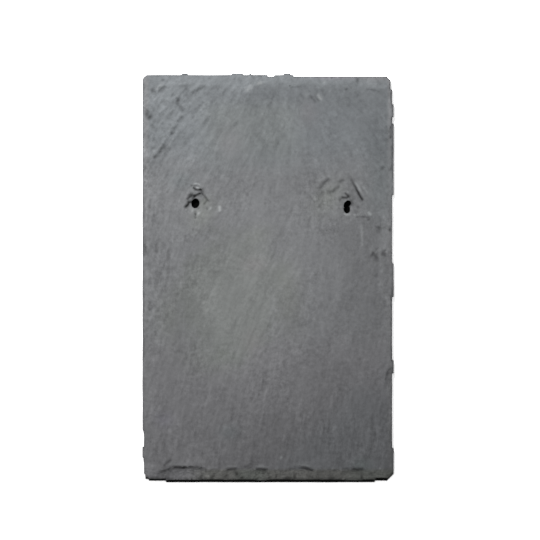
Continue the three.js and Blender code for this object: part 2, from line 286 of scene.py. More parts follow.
# The slate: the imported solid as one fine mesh, given its riven relief, then thinned
slate = {
    "cells": 9,               # halvings of the solid's length, to cells of 0.8 mm
    "triangles": 192000,
    "softening": 28,
    "spreading": 8,
    "softHalfWidth": 117,     # mm from the middle of the face, within which its own steps are softened too
    "softHalfLength": 183,
    "softMiddle": 3,
    "softHole": 8,
    "softFacing": 0.6,        # how far up a point must face to be softened
    "wallHeight": 2,          # mm above the bed where what belongs to the face begins
    "faceHeight": 4,
    "faceDrop": 0.12,         # mm that the relief sinks the face by, so that its crests stay inside the solid
    # How the cleft runs round each of these places, in degrees from +X, and how plainly
    "runs": table("x y turn pull spread", [
        (-85, 185, 48, 1, 45), (-60, 120, 57, 1.05, 45), (0, 150, 62, 0.8, 40), (75, 160, 134, 0.4, 55),
        (102, 98, 118, 0.7, 45), (-115, 30, 88, 1.1, 42), (-15, 20, 62, 0.5, 60), (112, 10, 92, 0.5, 40),
        (-60, -80, 74, 0.95, 60), (75, -75, 76, 0.4, 45), (80, -160, 88, 1.1, 40), (-70, -165, 78, 0.9, 40),
    ]),
    "runStep": 1.6,
    "runSteps": 11,
    "strokes": [              # ridges that follow the runs: mm across, mm along, mm high
        {"width": 1.8, "length": 5, "height": 0.06},
        {"width": 2.6, "length": 15, "height": 0.13},
        {"width": 5, "length": 34, "height": 0.18},
    ],
    # Where the cleft is rougher, by how much
    "rougher": table("x y across along gain", [
        (-105, 155, 45, 45, 0.3), (-90, 0, 40, 70, 0.3), (-118, -20, 14, 190, 0.4), (118, 0, 14, 190, 0.5),
        (66, 74, 38, 32, 0.7), (68, 58, 34, 16, 0.7), (110, 72, 12, 30, 0.3), (-40, -140, 90, 80, 0.35),
        (70, -130, 60, 80, 0.25),
    ]),
    "ways": (46, 64, 82, 100, 118, 136),  # the runs that fine strokes are drawn for
    # Broad patches that have weathered paler or darker. The narrow ones on the right edge, at x near 120, are painted
    # light instead, on an arris that faces away from the lamp.
    "tones": table("x y across along gain lean", [
        (-20, -50, 60, 65, 0.13), (-6, -28, 9, 60, 0.06, 24), (-25, 160, 50, 35, -0.08), (0, 180, 130, 14, -0.08),
        (112, -95, 24, 34, 0.1), (-111, 135, 10, 30, -0.12), (-123, 115, 6, 60, 0.1), (-123, -10, 5, 90, 0.07),
        (-111, 188, 10, 7, -0.15), (-109, 174, 8, 8, 0.12), (110, 132, 18, 24, -0.1), (119.8, 166, 2.8, 22, 0.42),
        (120, 110, 2, 34, 0.22), (120.3, -42, 2, 42, 0.16), (120, -135, 3, 40, 0.08), (115, 39, 3, 13, 0.18),
        (62, 196.8, 22, 3, 0.12), (57, 193.5, 9, 5, 0.1), (75.5, 193, 4.5, 4.5, -0.14), (98, 197, 20, 2.5, 0.1),
        (-115, 6, 4, 16, 0.12), (-121, -97, 3, 10, 0.12), (-121, 182, 3, 14, -0.07), (96, 191.5, 6, 3.5, 0.13),
        (111, 188.5, 5, 3.5, 0.15), (115, -2, 4, 12, -0.08), (80, -60, 25, 25, 0.06), (84, 88, 34, 24, 0.06),
        (118, 30, 8, 75, 0.1), (-100, 197, 28, 6, -0.07), (5, 197, 18, 5, 0.13), (70, 196, 60, 6, 0.13),
        (-116, -191, 10, 10, 0.32), (-101, -193, 6, 5, -0.2), (-77, -180, 8, 5, 0.12), (-37, -190, 10, 6, 0.08),
        (-20, -194, 9, 5, -0.16), (-10, -182, 15, 6, -0.14), (51, -194, 8, 4, -0.08), (92, -193, 12, 5, 0.1),
    ]),
    # Faint stains, by how much each raises the red and the blue
    "hues": table("x y across along red blue", [
        (110, 92, 14, 34, -0.045, 0), (-37, 131, 13, 16, 0.045, 0.015), (40, 162, 9, 13, 0.045, 0),
        (-14, 13, 12, 8, 0.045, 0.02), (-15, -63, 10, 12, 0.035, 0.01), (-55, -80, 28, 14, -0.035, -0.055),
        (-96, -38, 13, 26, -0.015, -0.05), (22, -18, 12, 34, -0.01, -0.05), (-8, 43, 16, 10, -0.01, -0.04),
        (-85, 95, 12, 8, -0.045, 0), (-38, -151, 10, 7, -0.045, 0), (92, -183, 10, 6, -0.065, -0.03),
        (66, 197.5, 24, 3, 0.1, 0.04), (108, 197, 18, 4.5, 0.05, -0.01), (-102, -139, 9, 7, 0.015, 0.06),
        (108, -100, 14, 20, 0.02, 0),
    ]),
    "grit": [(1.8, 0.05), (3.1, 0.1)],    # grains of no one direction: mm across, mm high
    "flakes": [               # low terraces left by the cleaving: mm across, mm along, steps in a rise, mm high
        {"width": 20, "length": 36, "steps": 5, "height": 0.5},
        {"width": 8, "length": 14, "steps": 2, "height": 0.22},
    ],
    "flatShare": 0.8,         # how much of a terrace's own slope is taken off again
    "liveliness": 0.5,        # how much the strokes swell and fade over the face
    "livelySize": 26,
    "grainFacing": 0.4,       # how far up a point must face to have the cleft's grain
    "levelFacing": (0.5, 0.8),       # from a wall to a face, by how far up or down a point faces
    "brokenFacing": (0.997, 0.985),  # from the face to a dressed edge, by how far up a point faces
    "brokenHeight": (6.9, 6.4),      # and by its height
    "brokenGrain": 0.5,       # how much of the cleft's grain goes where the stone is broken
    "layer": 0.62,            # mm between the cleavage layers that show on broken stone
    "layerRise": 0.3,
    "layerShare": 0.6,
    "layerWaver": [(7, 0.8), (2.5, 0.4)],    # mm across, strength
    "brokenGrains": [(3, 1), (1.6, 0.6)],
    "brokenRough": 0.22,
    "wallFrom": (0.2, 1.8),   # mm above the bed between which a wall's roughness begins
    "wallRough": 0.26,
    "sheetSize": (9, 1.37),
    "chipSize": (2.5, 1.5),
    "backRough": 0.25,
    "backStreaks": (74, 12, 45),     # degrees from +X, mm across, mm along
    "rimHeight": 0.9,         # mm above the bed in which a wall's points are all kept
    "markedFrom": 0.25,       # how dark or pale a mark is where its points are all kept
    "sideShadeFacing": (0.1, 0.4),
    "leftSideShade": 0.55,         # how much painted shade the left side's arris takes beside the right one's
    "headRimShade": 0.5,
    "shadeTop": 5.8,           # mm above the bed up to which the tail's wall is painted nearly black, as painted shade
    "shadeDrop": 2.6,          # mm that this is lower at the left corner
    "shadeDropFrom": (-97, -103),
    "shadeFacing": (0.55, 0.9),
    "shadeFade": 0.6,
    "shadeWaver": 0.3,
}

# Where each noise starts its draws
seeds = {
    "strokes": 10, "flakes": 20, "grit": 30, "ragged": 70, "patchy": 72, "waver": 81, "broken": 83,
    "sheets": 85, "chips": 86, "back": 87, "lively": 91,
}


# A ledge in the face drops to the right of the way that its path runs, in mm from the slate's middle. Its dark line
# is grime and painted shade along the step, and its rim is a painted highlight on the lit lip above it.
def ledge(*path, **values):
    return {"path": path, **values}


def paleLine(*path, **values):
    return ledge(*path, drop=0, grime=0, **values)


ledges = {
    "headLeft": [
        ledge((-112.5, 116), (-109, 120), (-105.5, 123.5), (-102, 127.5), (-100, 132), (-98, 136), drop=0.5, run=3.4,
              width=2.7, grime=0.42, ragged=1.4, patchy=0.3, start=0.1),
        ledge((-97, 138), (-94.5, 141), (-91.5, 143.5), width=2.4, grime=0.35, drop=0.6),
        ledge((-95.5, 145.5), (-91, 147.5), (-87, 149), width=1.6, grime=0.25),
        ledge((-89.5, 151.5), (-86.5, 155), (-82.5, 159.5), drop=0.8, width=1.8, grime=0.5),
        ledge((-88, 172), (-86.5, 169), (-83.5, 164), (-82, 161), width=2, grime=0.48, start=0.1, patchy=0.1),
        ledge((-78, 177.5), (-74.5, 180.5), (-72, 182.5), (-67.5, 185), (-62, 187.5), (-58, 190), drop=0.7, run=3.4,
              width=2.4, grime=0.34, patchy=0.2),
        ledge((-108, 181.5), (-105, 184.5), (-100.5, 189), drop=0.7, rim=0.3, width=2, grime=0.4, patchy=0,
              start=0.15, end=0.15),
        paleLine((-109.5, 182.5), (-106.5, 187), (-102, 191), pale=0.5, width=1.2),
        ledge((-115, 186), (-112, 182.5), (-108.5, 182.3), drop=0.6, grime=0.4, patchy=0.2),
        ledge((-102, 168), (-99, 171.3), (-94.5, 173), drop=0.6, grime=0.2),
        ledge((-95.5, 177), (-91.5, 180.5), drop=0.5, grime=0.15),
        ledge((-92, 186), (-84, 188), (-74, 187), drop=0.5, grime=0.1, width=2.6),
        ledge((-45, 177.5), (-42, 182.5), (-38.5, 187), (-34.5, 191.5), drop=0.8, grime=0.2),
        ledge((-22, 183.5), (-13.5, 186.5), (-6.5, 189.5), (4.5, 190.5), drop=0.5, rim=0.4),
        paleLine((-23, 182.6), (-18, 185), (-13, 187.4), pale=0.75, width=1.7, ragged=0.5, patchy=0),
        paleLine((-11.5, 189.4), (-8, 190.2), (-4.5, 190.6), pale=0.95, width=1.6, ragged=0.4, patchy=0),
        ledge((-108.5, 159.5), (-101.5, 162.5), drop=0.6, grime=0.2),
        ledge((-101.5, 153.5), (-94, 161), (-88.5, 164.5), drop=0.7, run=3.4, width=2.4, grime=0.2),
        ledge((-104.5, 149.5), (-102.5, 153), drop=0.6, grime=0.2),
        ledge((-110, 145), (-115, 149.5), drop=0.5, grime=0.25),
        ledge((-64.5, 163.5), (-57, 170), drop=0.6),
        ledge((-64.5, 146), (-61, 153), (-57, 158.5), drop=0.7, grime=0.2),
        ledge((-75, 149), (-68.5, 156), drop=0.5),
        ledge((-33.5, 147), (-29.5, 155.5), drop=0.6, width=1.8),
        ledge((-83, 128), (-76, 137.5), (-71, 147), drop=0.4),
        ledge((-111.5, 131), (-112, 139.5), drop=0.5, grime=0.25, width=2),
        ledge((-111.4, 116.6), (-109.8, 111), (-111.8, 105), (-112.6, 96.6), drop=0.3, grime=0.2, width=2),
    ],
    "headRight": [
        ledge((14.5, 187), (31, 187.5), (49.5, 187), drop=0.6, grime=0.12, width=2.2),
        ledge((41, 180), (44, 175.5), (48, 170), drop=0.7, rim=0.3, width=1.5, grime=0.4, ragged=0.5, patchy=0.2),
        ledge((31.3, 181.3), (36.2, 173.6), drop=0.4, grime=0.25, width=1.3, ragged=0.5),
        ledge((37.5, 187.5), (42, 181), drop=0.4, grime=0.25, width=1.3, ragged=0.5),
        paleLine((35, 184), (40, 175.5), pale=0.3, width=1.3, ragged=0.5),
        ledge((45.5, 180), (48, 175.5), (51, 171), drop=0.6, width=1.3, grime=0.42, ragged=0.5, patchy=0.1),
        paleLine((48, 181), (51, 176.5), (53.5, 172.5), pale=1, width=1.4, ragged=0.4, patchy=0),
        ledge((28, 176), (34, 168), drop=0.5),
        ledge((92, 188.5), (98, 184.8), (106, 183.4), (115, 182.4), drop=0.6, grime=0.28, width=1.8),
        ledge((70, 178), (76, 169), drop=0.4),
        ledge((93, 172), (101, 160), drop=0.4),
    ],
    "sides": [
        ledge((-123, 35), (-118.5, 23), (-116.5, 16.5), drop=0.6),
        ledge((-109.5, 37), (-109, 21), drop=0.4, grime=0.4),
        ledge((99, 18.5), (103.5, 24), (106.5, 20), (109.5, 14.5), drop=0.7, grime=0.65, width=2.1, patchy=0.2),
        ledge((110.5, 20), (113.5, 25), (116.5, 18.5), drop=0.7, grime=0.65, width=2.1, patchy=0.2),
        ledge((112.5, 11), (110.3, 5), drop=0.3, grime=0, pale=0.4, width=1.2),
        ledge((109.3, -3), (110.5, -12), drop=0.2, grime=0, pale=0.35, width=1.4),
        ledge((113.5, -15.5), (116.8, -20.5), (118.4, -26.5), drop=0.3, grime=0, pale=0.4, width=1.1),
        ledge((112.3, -19), (114.3, -24.5), drop=0.3, grime=0.25, width=1.4),
        ledge((119.7, 52), (119.9, 43), drop=0.4, grime=0.5, width=1.6, patchy=0.1),
        ledge((105.2, -20), (105.6, -33), drop=0.4, grime=0.16, width=2.6),
        ledge((107, 51), (111.5, 46.5), drop=0.5, grime=0.35, width=2, patchy=0.2),
        ledge((114.5, -102.5), (118.5, -90), drop=0.6, grime=0.25),
    ],
    "leftHole": [
        ledge((-82.8, 68.8), (-80.3, 70.3), (-78.6, 72), (-77.9, 74), (-75.5, 74.6), (-72, 74.4), drop=0.7, grime=1.3,
              width=1.4, ragged=0.5, patchy=0, start=0.2, end=0),
        ledge((-80, 76), (-78.5, 78), (-76.6, 80), grime=0.9, width=1.2, ragged=0.5, patchy=0, end=0.1),
        ledge((-77.6, 79.4), (-76, 81.2), (-73.6, 80.2), grime=0.9, width=2.3, ragged=0.4, patchy=0),
        ledge((-72.7, 80.2), (-72.9, 77), grime=0.95, width=1.7, ragged=0.3, patchy=0, start=0, end=0),
        ledge((-73, 79.4), (-70.6, 80.9), (-68.2, 82.2), (-66.2, 82.9), drop=0.6, grime=1.15, width=1.2, ragged=0.4,
              patchy=0, start=0.1, end=0.05),
        ledge((-66, 81.5), (-65.3, 84.5), (-66, 87.4), grime=0.85, width=1.9, ragged=0.4, patchy=0, start=0.1,
              end=0.15),
        ledge((-73.3, 89.2), (-70.9, 86.9), (-68.8, 86.3), (-66.3, 86.9), (-65.3, 87.6), drop=0.6, grime=1.05,
              width=0.95, ragged=0.3, patchy=0, start=0.1, end=0.1),
        ledge((-64.5, 82.8), (-61.8, 79.9), (-59, 77), (-56.2, 73.5), grime=0.65, width=1.1, ragged=0.4, patchy=0,
              start=0.1),
        ledge((-58.9, 76.8), (-61.8, 72.6), (-64, 71), drop=0.2, grime=0.55, width=1.1, ragged=0.4, patchy=0),
        ledge((-70.9, 66), (-71, 57.5), drop=0.3, grime=0.4, width=1.4, ragged=0.5, patchy=0.2),
        ledge((-66, 88.6), (-66.3, 90.6), (-68, 92), (-70.5, 92.4), (-73.5, 91.4), (-75.2, 90.4), drop=0.4, run=1.6,
              grime=0, rim=0, pale=1.1, width=0.65, ragged=0.2, patchy=0),
        ledge((-66.6, 88.2), (-68.6, 88.1), (-70.8, 89.1), drop=0.3, run=1.6, grime=0, rim=0, pale=1.9, width=0.7,
              ragged=0.2, patchy=0),
        ledge((-73.4, 90.6), (-71, 90.5), (-68.8, 90.2), drop=0.4, run=1.6, grime=0.4, rim=0, width=0.8, ragged=0.2,
              patchy=0),
        paleLine((-47.2, 70.8), (-47.1, 64.6), rim=0, pale=2, width=1.35, ragged=0.2, patchy=0, start=0.2, end=0.2),
    ],
    "rightHole": [
        ledge((77.5, 103.5), (81.6, 96.4), (85.1, 90.1), (88.6, 83.8), (90.7, 79.6), (94, 74.5), drop=0.8, grime=1.15,
              rim=0.2, width=1.35, ragged=0.5, patchy=0, start=0.75, end=0.1),
        paleLine((85.5, 94.5), (87.9, 90.1), (90.9, 83.6), pale=0.8, width=1.2, ragged=0.4, patchy=0),
        ledge((89.5, 92.5), (92, 88), (96.5, 81), drop=0.4, grime=0.38, width=1, ragged=0.4),
        paleLine((92.3, 92), (95, 86.5), (99, 80), pale=0.35, width=1.2, ragged=0.4, patchy=0.2),
        ledge((99.5, 93), (101, 88.5), (103.5, 83), drop=0.3, grime=0.22, width=1.4, patchy=0.2),
        paleLine((113.3, 96), (113.6, 87.5), pale=0.4, width=1, ragged=0.3),
        ledge((50.5, 87), (53.5, 92), (57, 94.5), (60.5, 98.5), drop=0.8, width=2.2, grime=0.5, patchy=0.2,
              start=0.15, end=0.15),
        ledge((50, 79), (55, 88), drop=0.5),
        ledge((56.5, 84.5), (63, 84.5), (66, 87), (70.5, 91), drop=0.7, width=2.1, grime=0.46, patchy=0.2, start=0.15,
              end=0.2),
        ledge((68, 93), (71.5, 95), (75, 98), drop=0.5, width=2.2, grime=0.42, patchy=0.2),
        ledge((64, 99), (71, 108), drop=0.4),
        ledge((75.2, 84.5), (77, 82.2), (80, 80), drop=0.5, grime=0.95, width=1.2, ragged=0.4, patchy=0),
        ledge((71.8, 79.6), (74.5, 78.7), (76.9, 78.7), (81.5, 80.7), drop=0.5, grime=1.05, width=1.3, ragged=0.4,
              patchy=0, start=0.1),
        ledge((81, 80), (84, 77.5), (86.5, 78.5), drop=0.4, grime=0.25, ragged=0.4),
        ledge((81.5, 77.5), (82.2, 74), (81.4, 69.5), grime=0.8, width=1.7, ragged=0.3, patchy=0),
        paleLine((73, 63), (77, 61.6), (81.5, 62.2), pale=1.3, width=1.1, ragged=0.3, patchy=0),
        paleLine((97.5, 65.3), (99.5, 63), (102, 61.2), pale=1.6, width=1.5, ragged=0.4, patchy=0),
        ledge((85.5, 59.8), (92, 60.1), (99.8, 59.6), drop=0.3, grime=0.6, width=0.95, ragged=0.4, patchy=0.3,
              start=0.1, end=0.15),
        paleLine((91, 56), (92.4, 43), (92.5, 29), pale=0.75, width=1.3, patchy=0.2, start=0.5, end=0.15),
    ],
    "tail": [
        ledge((-109, -192.6), (-102.3, -189.6), (-97.4, -187.3), (-95, -185.3), drop=0.5, grime=0.45, patchy=0.2,
              start=0.15, end=0),
        ledge((-94, -185.6), (-90, -185.2), (-86, -185.6), (-78, -185.6), drop=0.6, grime=0.95, rim=0.5, width=1.5,
              ragged=0.2, patchy=0, start=0.15),
        ledge((-82, -185.6), (-76.5, -185.3), (-62, -184.4), drop=0.4, grime=0.42, width=1.2, ragged=0.3, patchy=0.2,
              start=0),
        ledge((-103.2, -184.6), (-98.5, -181), (-94, -177), drop=0.5, grime=0.5, width=1.7, ragged=0.5, patchy=0,
              start=0.2, end=0.2),
        paleLine((-99.5, -184.5), (-92.5, -178.8), pale=0.35, width=1.2),
        ledge((-43, -187.4), (-37, -187.2), (-28, -186.8), drop=0.5, grime=0.75, rim=0.5, width=1.4, ragged=0.4,
              patchy=0.1),
        ledge((-28, -186.5), (-20, -183.5), (-13, -182.6), drop=0.3, grime=0.25),
        ledge((-13, -187.5), (-6.5, -187.2), (1.5, -187.9), drop=0.6, grime=0.95, rim=0.6, width=1.5, ragged=0.5,
              patchy=0, start=0.15),
        paleLine((23, -186), (29, -183.4), (36, -182.9), (43.5, -185.8), pale=0.5, width=1.3, ragged=0.4, patchy=0),
        ledge((27.5, -186.2), (34.5, -186), (39.5, -187), (45, -189), drop=0.5, grime=0.9, rim=0.2, width=1.4,
              ragged=0.5, patchy=0, start=0.6, end=0.1),
        ledge((71, -187.6), (76, -186.6), (82, -186.8), drop=0.5, grime=0.3, ragged=0.5),
        ledge((81, -187), (88, -187.3), (96.5, -188), drop=0.6, grime=0.8, width=1.4, ragged=0.5, patchy=0),
    ],
}
plainLedge = {
    "drop": 0.4, "run": 2.6, "fade": 5, "grime": 0.15, "rim": 0.12, "pale": 0, "width": 1.6,
    "start": 0.3, "end": 0.3, "ragged": 1, "patchy": 0.5, "lip": 0.2, "lipHighlightWidth": 1.1,
    "grains": [(2.3, 0.6), (5, 0.6)], "patchSize": 4, "patchFrom": (0.2, -0.5),
}

# Small marks, with where they are and how wide. Pits, dimples, holes and notches hold dirt and painted shade, and
# chips are fresh, pale and stand a little proud. Shades, glows and moss are broad and have hardly any relief.
marks = {
    "pits": {
        "height": -0.5, "grime": 0.6,
        "places": [(120.5, 138, 2.6), (120.5, 106, 3.4), (112.5, 107.5, 4.2), (119.5, 47, 2.6), (-74.7, 90.2, 2.6),
                   (70.4, 76.1, 3), (77, 184.5, 2.6), (88, 194, 4), (-103, 193.6, 3), (-94.2, 141.6, 3.4),
                   (98.6, 56.5, 2.6), (-59.7, 67.5, 2), (-68, 68, 2.2), (-71, 62, 1.8), (-71.2, 58.4, 2),
                   (-118.8, 160.2, 5.6)],
    },
    "dimples": {
        "height": -0.2, "grime": 0.22,
        "places": [(-113.5, 147, 3), (48.9, 182.4, 2.6), (82, 186.5, 3), (88, 178.5, 3), (71.5, 195, 3),
                   (-34, 181.5, 3), (-48.2, 169.3, 3), (-43.3, 179.3, 2.6), (-28.2, 193.6, 4), (-33.1, 148.9, 4),
                   (49.4, 79.6, 3.6), (87.9, 70.1, 3.4), (-101.5, 7.5, 3), (-11.3, 167.2, 3), (-62, 180, 3),
                   (-55, 172, 3), (-66, 176, 3.4), (-38, 164, 3), (-52, 186, 3), (10, 131, 3), (62, 141, 3),
                   (-27, 42, 3), (-25.5, 182.5, 3), (-110.7, 118.1, 3), (-105.8, 123, 3), (-102, 127.5, 4.4),
                   (-98.3, 135.3, 3), (118, 11, 5), (109, 48.5, 5), (106.3, 2, 4), (97, -3, 3), (54.5, 183, 3),
                   (110.2, 189.6, 3), (108.8, 90.5, 6.4), (117.5, 89, 6.4), (110, 113.5, 5.4), (97.5, 91.5, 4)],
    },
    # Painted shade: the two holes beside the right nail hole fill the dark between its lobes
    "holes": {
        "height": -0.8, "grime": 0.9,
        "places": [(-115.6, 157.2, 5), (-88, 173.6, 4.8), (75, 68.4, 2), (79.9, 68.8, 1.8)],
    },
    "chips": {
        "height": 0.16, "pale": 0.6,
        "places": [(-76.8, 72.2, 2), (-86.6, 75.7, 2), (-80, 66.5, 2), (-90.5, 67.7, 2.2), (-59.7, 81, 2),
                   (-74, 85.5, 3.4), (-56, 81, 2), (49.4, 66.3, 3), (55.5, 73.5, 2), (46.5, 76.5, 2.2),
                   (64.8, 52.3, 2.4), (63.5, 64.5, 2), (85, 61.5, 2.2), (72.5, 68.5, 1.8), (78, 84, 1.8),
                   (19.9, -185.8, 2.6), (63.5, -187, 3), (71.5, -188, 2.4), (109.5, -187, 2.4), (-89, 177.8, 2.4),
                   (-111.8, 123.7, 2.6), (55.5, 191.5, 2.4), (60.5, 182.5, 2.4), (-57, 160, 2.4), (-96.5, 130.5, 3),
                   (-93, 136, 2.6)],
    },
    "brightChips": {
        "height": 0.16, "pale": 1.2,
        "places": [(-67.8, 63.2, 2.8), (-74, 65.6, 2.2), (-56.3, 67.7, 2.6), (12.9, -176.4, 2.8)],
    },
    "notches": {
        "height": -0.3, "grime": 0.8,
        "places": [(-66, -195.6, 5), (-54.5, -195.6, 5), (-41, -194.4, 5), (-30.5, -192.8, 3.4), (-25, -196, 3),
                   (8, -195, 3), (19, -197.2, 6), (26, -196, 4), (63, -197, 5.5), (92, -195.6, 4), (1.5, -196, 3)],
    },
    "shades": {
        "height": 0, "grime": 0.09,
        "places": [(-5, 179, 22), (-112, 165, 16), (85, 176, 26), (103, 45, 24), (-92, 100, 20), (-111, 187, 9),
                   (-83, 186, 14), (-82, 185.5, 9), (-11, 178, 16)],
    },
    "glows": {
        "height": 0, "pale": 0.13,
        "places": [(60, 72, 28), (64, 66, 20), (-63, 62, 16), (100, 190, 22)],
    },
    "moss": {
        "height": 0, "pale": 0.14, "moss": 0.8,
        "places": [(58, 78, 26), (-64, 62, 24), (-62, 75, 8)],
    },
}
markShape = {
    "turn": 50,               # degrees from +X that the marks lie at, and how far they swing from it by turns
    "swing": 40,
    "length": 1.3,
    "width": 0.8,
}


# 0 below low, 1 above high, smooth between
def smooth(value, low, high):
    t = np.clip((value - low) / (high - low), 0, 1)
    return t * t * (3 - 2 * t)


# Smooth noise from about -1 to 1, with one slope at each whole step of u and v
def softNoise(u, v, seed):
    cells = 256
    turns = np.random.default_rng(seed).uniform(0, 2 * math.pi, (cells, cells))
    column, row = np.floor(u).astype(int), np.floor(v).astype(int)
    total = 0
    for i in (0, 1):
        for j in (0, 1):
            turn = turns[(column + i) % cells, (row + j) % cells]
            across, up = u - column - i, v - row - j
            near = (1 - smooth(abs(across), 0, 1)) * (1 - smooth(abs(up), 0, 1))
            total = total + near * (np.cos(turn) * across + np.sin(turn) * up)
    return total * 1.6


# How far a place lies along a direction, and how far to the left of it
def turnedBy(x, y, angle):
    return x * math.cos(angle) + y * math.sin(angle), y * math.cos(angle) - x * math.sin(angle)


# Soft noise of several sizes, each with its strength
def mixedNoise(x, y, grains, seed):
    return sum(strength * softNoise(x / size, y / size, seed + n) for n, (size, strength) in enumerate(grains))


# Noise drawn out along one direction
def streaks(x, y, turn, width, length, seed):
    along, across = turnedBy(x, y, math.radians(turn))
    return softNoise(across / width, along / length, seed)


# One value of the cleft's runs, blended at each point from the runs round it
def runValue(x, y, runs, key):
    total, shares = 0, 0
    for run in runs:
        near = 1 / (1 + ((x - run["x"]) ** 2 + (y - run["y"]) ** 2) / run["spread"] ** 2) ** 2
        total = total + near * run[key]
        shares = shares + near
    return total / shares


# Places before and after each point along the cleft's run, with how far away they are
def followRuns(x, y, v):
    trail = [(0, x, y)]
    for way in (-1, 1):
        px, py = x, y
        for n in range(1, v["runSteps"] + 1):
            turn = np.radians(runValue(px, py, v["runs"], "turn"))
            px = px + way * v["runStep"] * np.cos(turn)
            py = py + way * v["runStep"] * np.sin(turn)
            trail.append((n * v["runStep"], px, py))
    return trail


# Noise drawn out along the runs
def drawnOut(trail, width, length, seed):
    total, power = 0, 0
    for away, px, py in trail:
        share = 1 - (2 * away / length) ** 2
        if share > 0:
            total = total + share * softNoise(px / width, py / width, seed)
            power += share ** 2
    return total / math.sqrt(power)


# Flats with a short rise between each and the next
def terraced(level, rise=0.25):
    flat = np.floor(level)
    return flat + smooth(level - flat, 1 - rise, 1)


# The cleft of the whole face: strokes, grit and low terraces that follow the runs
def grainRelief(x, y, v):
    trail = followRuns(x, y, v)
    strokes = 0
    for n, stroke in enumerate(v["strokes"]):
        seed = seeds["strokes"] + n
        strokes = strokes + stroke["height"] * drawnOut(trail, stroke["width"], stroke["length"], seed)
    lively = softNoise(x / v["livelySize"], y / v["livelySize"], seeds["lively"])
    strokes = strokes * (1 + v["liveliness"] * lively) * runValue(x, y, v["runs"], "pull")
    flakes = 0
    for n, flake in enumerate(v["flakes"]):
        field = 0.6 * drawnOut(trail, flake["width"], flake["length"], seeds["flakes"] + n)
        level = terraced(field * flake["steps"]) / flake["steps"]
        flakes = flakes + flake["height"] * (level - field * v["flatShare"])
    grit = mixedNoise(x, y, v["grit"], seeds["grit"])
    return (strokes + flakes + grit) * (1 + patchesAt(x, y, v["rougher"]))


# Signed distance from a path, positive on its right, and the share of the path that has passed
def alongPath(x, y, path):
    lengths = [math.dist(a, b) for a, b in zip(path, path[1:])]
    nearest = np.full(len(x), np.inf)
    side = np.zeros(len(x))
    share = np.zeros(len(x))
    done = 0
    for (x0, y0), (x1, y1), length in zip(path, path[1:], lengths):
        dx, dy = (x1 - x0) / length, (y1 - y0) / length
        run = np.clip((x - x0) * dx + (y - y0) * dy, 0, length)
        gap = np.hypot(x - x0 - run * dx, y - y0 - run * dy)
        closer = gap < nearest
        right = np.sign((x - x0) * dy - (y - y0) * dx)
        nearest = np.where(closer, gap, nearest)
        side = np.where(closer, right, side)
        share = np.where(closer, (done + run) / sum(lengths), share)
        done += length
    return nearest * side, share


# 1 at the middle of a mark, fading to both sides
def peak(away, width):
    return np.exp(-(away / width) ** 2)


def addLedge(x, y, ownValues, field):
    v = {**plainLedge, **ownValues}
    reach = 3 * v["fade"]
    pathX, pathY = zip(*v["path"])
    near = (x > min(pathX) - reach) & (x < max(pathX) + reach)
    near = near & (y > min(pathY) - reach) & (y < max(pathY) + reach)
    px, py = x[near], y[near]
    across, share = alongPath(px, py, v["path"])
    across = across + v["ragged"] * mixedNoise(px, py, v["grains"], seeds["ragged"])
    taper = smooth(share, -0.01, v["start"]) * (1 - smooth(share, 1 - v["end"], 1.01))
    patches = softNoise(px / v["patchSize"], py / v["patchSize"], seeds["patchy"])
    taper = taper * (1 - v["patchy"] * smooth(patches, *v["patchFrom"]))
    down = smooth(across, -v["run"] / 2, v["run"] / 2) * np.exp(-np.maximum(across, 0) / v["fade"])
    lip = v["lip"] * peak(across + v["run"], v["run"])
    field["height"][near] += v["drop"] * taper * (lip - down)
    # Grime and painted shade along the foot of the step
    field["grime"][near] += v["grime"] * taper * peak(across - 0.3, v["width"])
    # A painted highlight on the lit lip above the step
    field["pale"][near] += v["rim"] * taper * peak(across + 1 + v["width"], v["lipHighlightWidth"])
    field["pale"][near] += v["pale"] * taper * peak(across, v["width"])


def addMarks(x, y, v, field):
    for n, (px, py, size) in enumerate(v["places"]):
        near = (abs(x - px) < 2 * size) & (abs(y - py) < 2 * size)
        lean = math.radians(markShape["turn"] + markShape["swing"] * math.sin(3 * n))
        along, across = turnedBy(x[near] - px, y[near] - py, lean)
        length, width = markShape["length"] * (size / 2), markShape["width"] * (size / 2)
        bump = np.exp(-(along / length) ** 2 - (across / width) ** 2)
        for key in field:
            field[key][near] += v.get(key, 0) * bump


# The summed gain at each point of broad patches that fade outwards
def patchesAt(x, y, patches, key="gain"):
    total = 0
    for patch in patches:
        lean = math.radians(patch.get("lean", 0))
        across = (x - patch["x"]) * math.cos(lean) - (y - patch["y"]) * math.sin(lean)
        along = (x - patch["x"]) * math.sin(lean) + (y - patch["y"]) * math.cos(lean)
        total = total + patch[key] * np.exp(-(across / patch["across"]) ** 2 - (along / patch["along"]) ** 2)
    return total


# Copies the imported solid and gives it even, fine faces
def fineCopy(node, cells):
    mesh = node.data.copy()
    shape = bmesh.new()
    shape.from_mesh(mesh)
    bmesh.ops.remove_doubles(shape, verts=shape.verts, dist=1e-6)
    shape.to_mesh(mesh)
    shape.free()
    piece = bpy.data.objects.new("rivenSlate", mesh)
    scene.collection.objects.link(piece)
    remesh = piece.modifiers.new("fine", "REMESH")
    remesh.mode = "SHARP"
    remesh.octree_depth = cells
    remesh.scale = 0.99
    applyModifiers(piece)
    piece.data.materials.clear()
    return piece


def applyModifiers(piece):
    graph = bpy.context.evaluated_depsgraph_get()
    made = bpy.data.meshes.new_from_object(piece.evaluated_get(graph))
    piece.modifiers.clear()
    piece.data = made


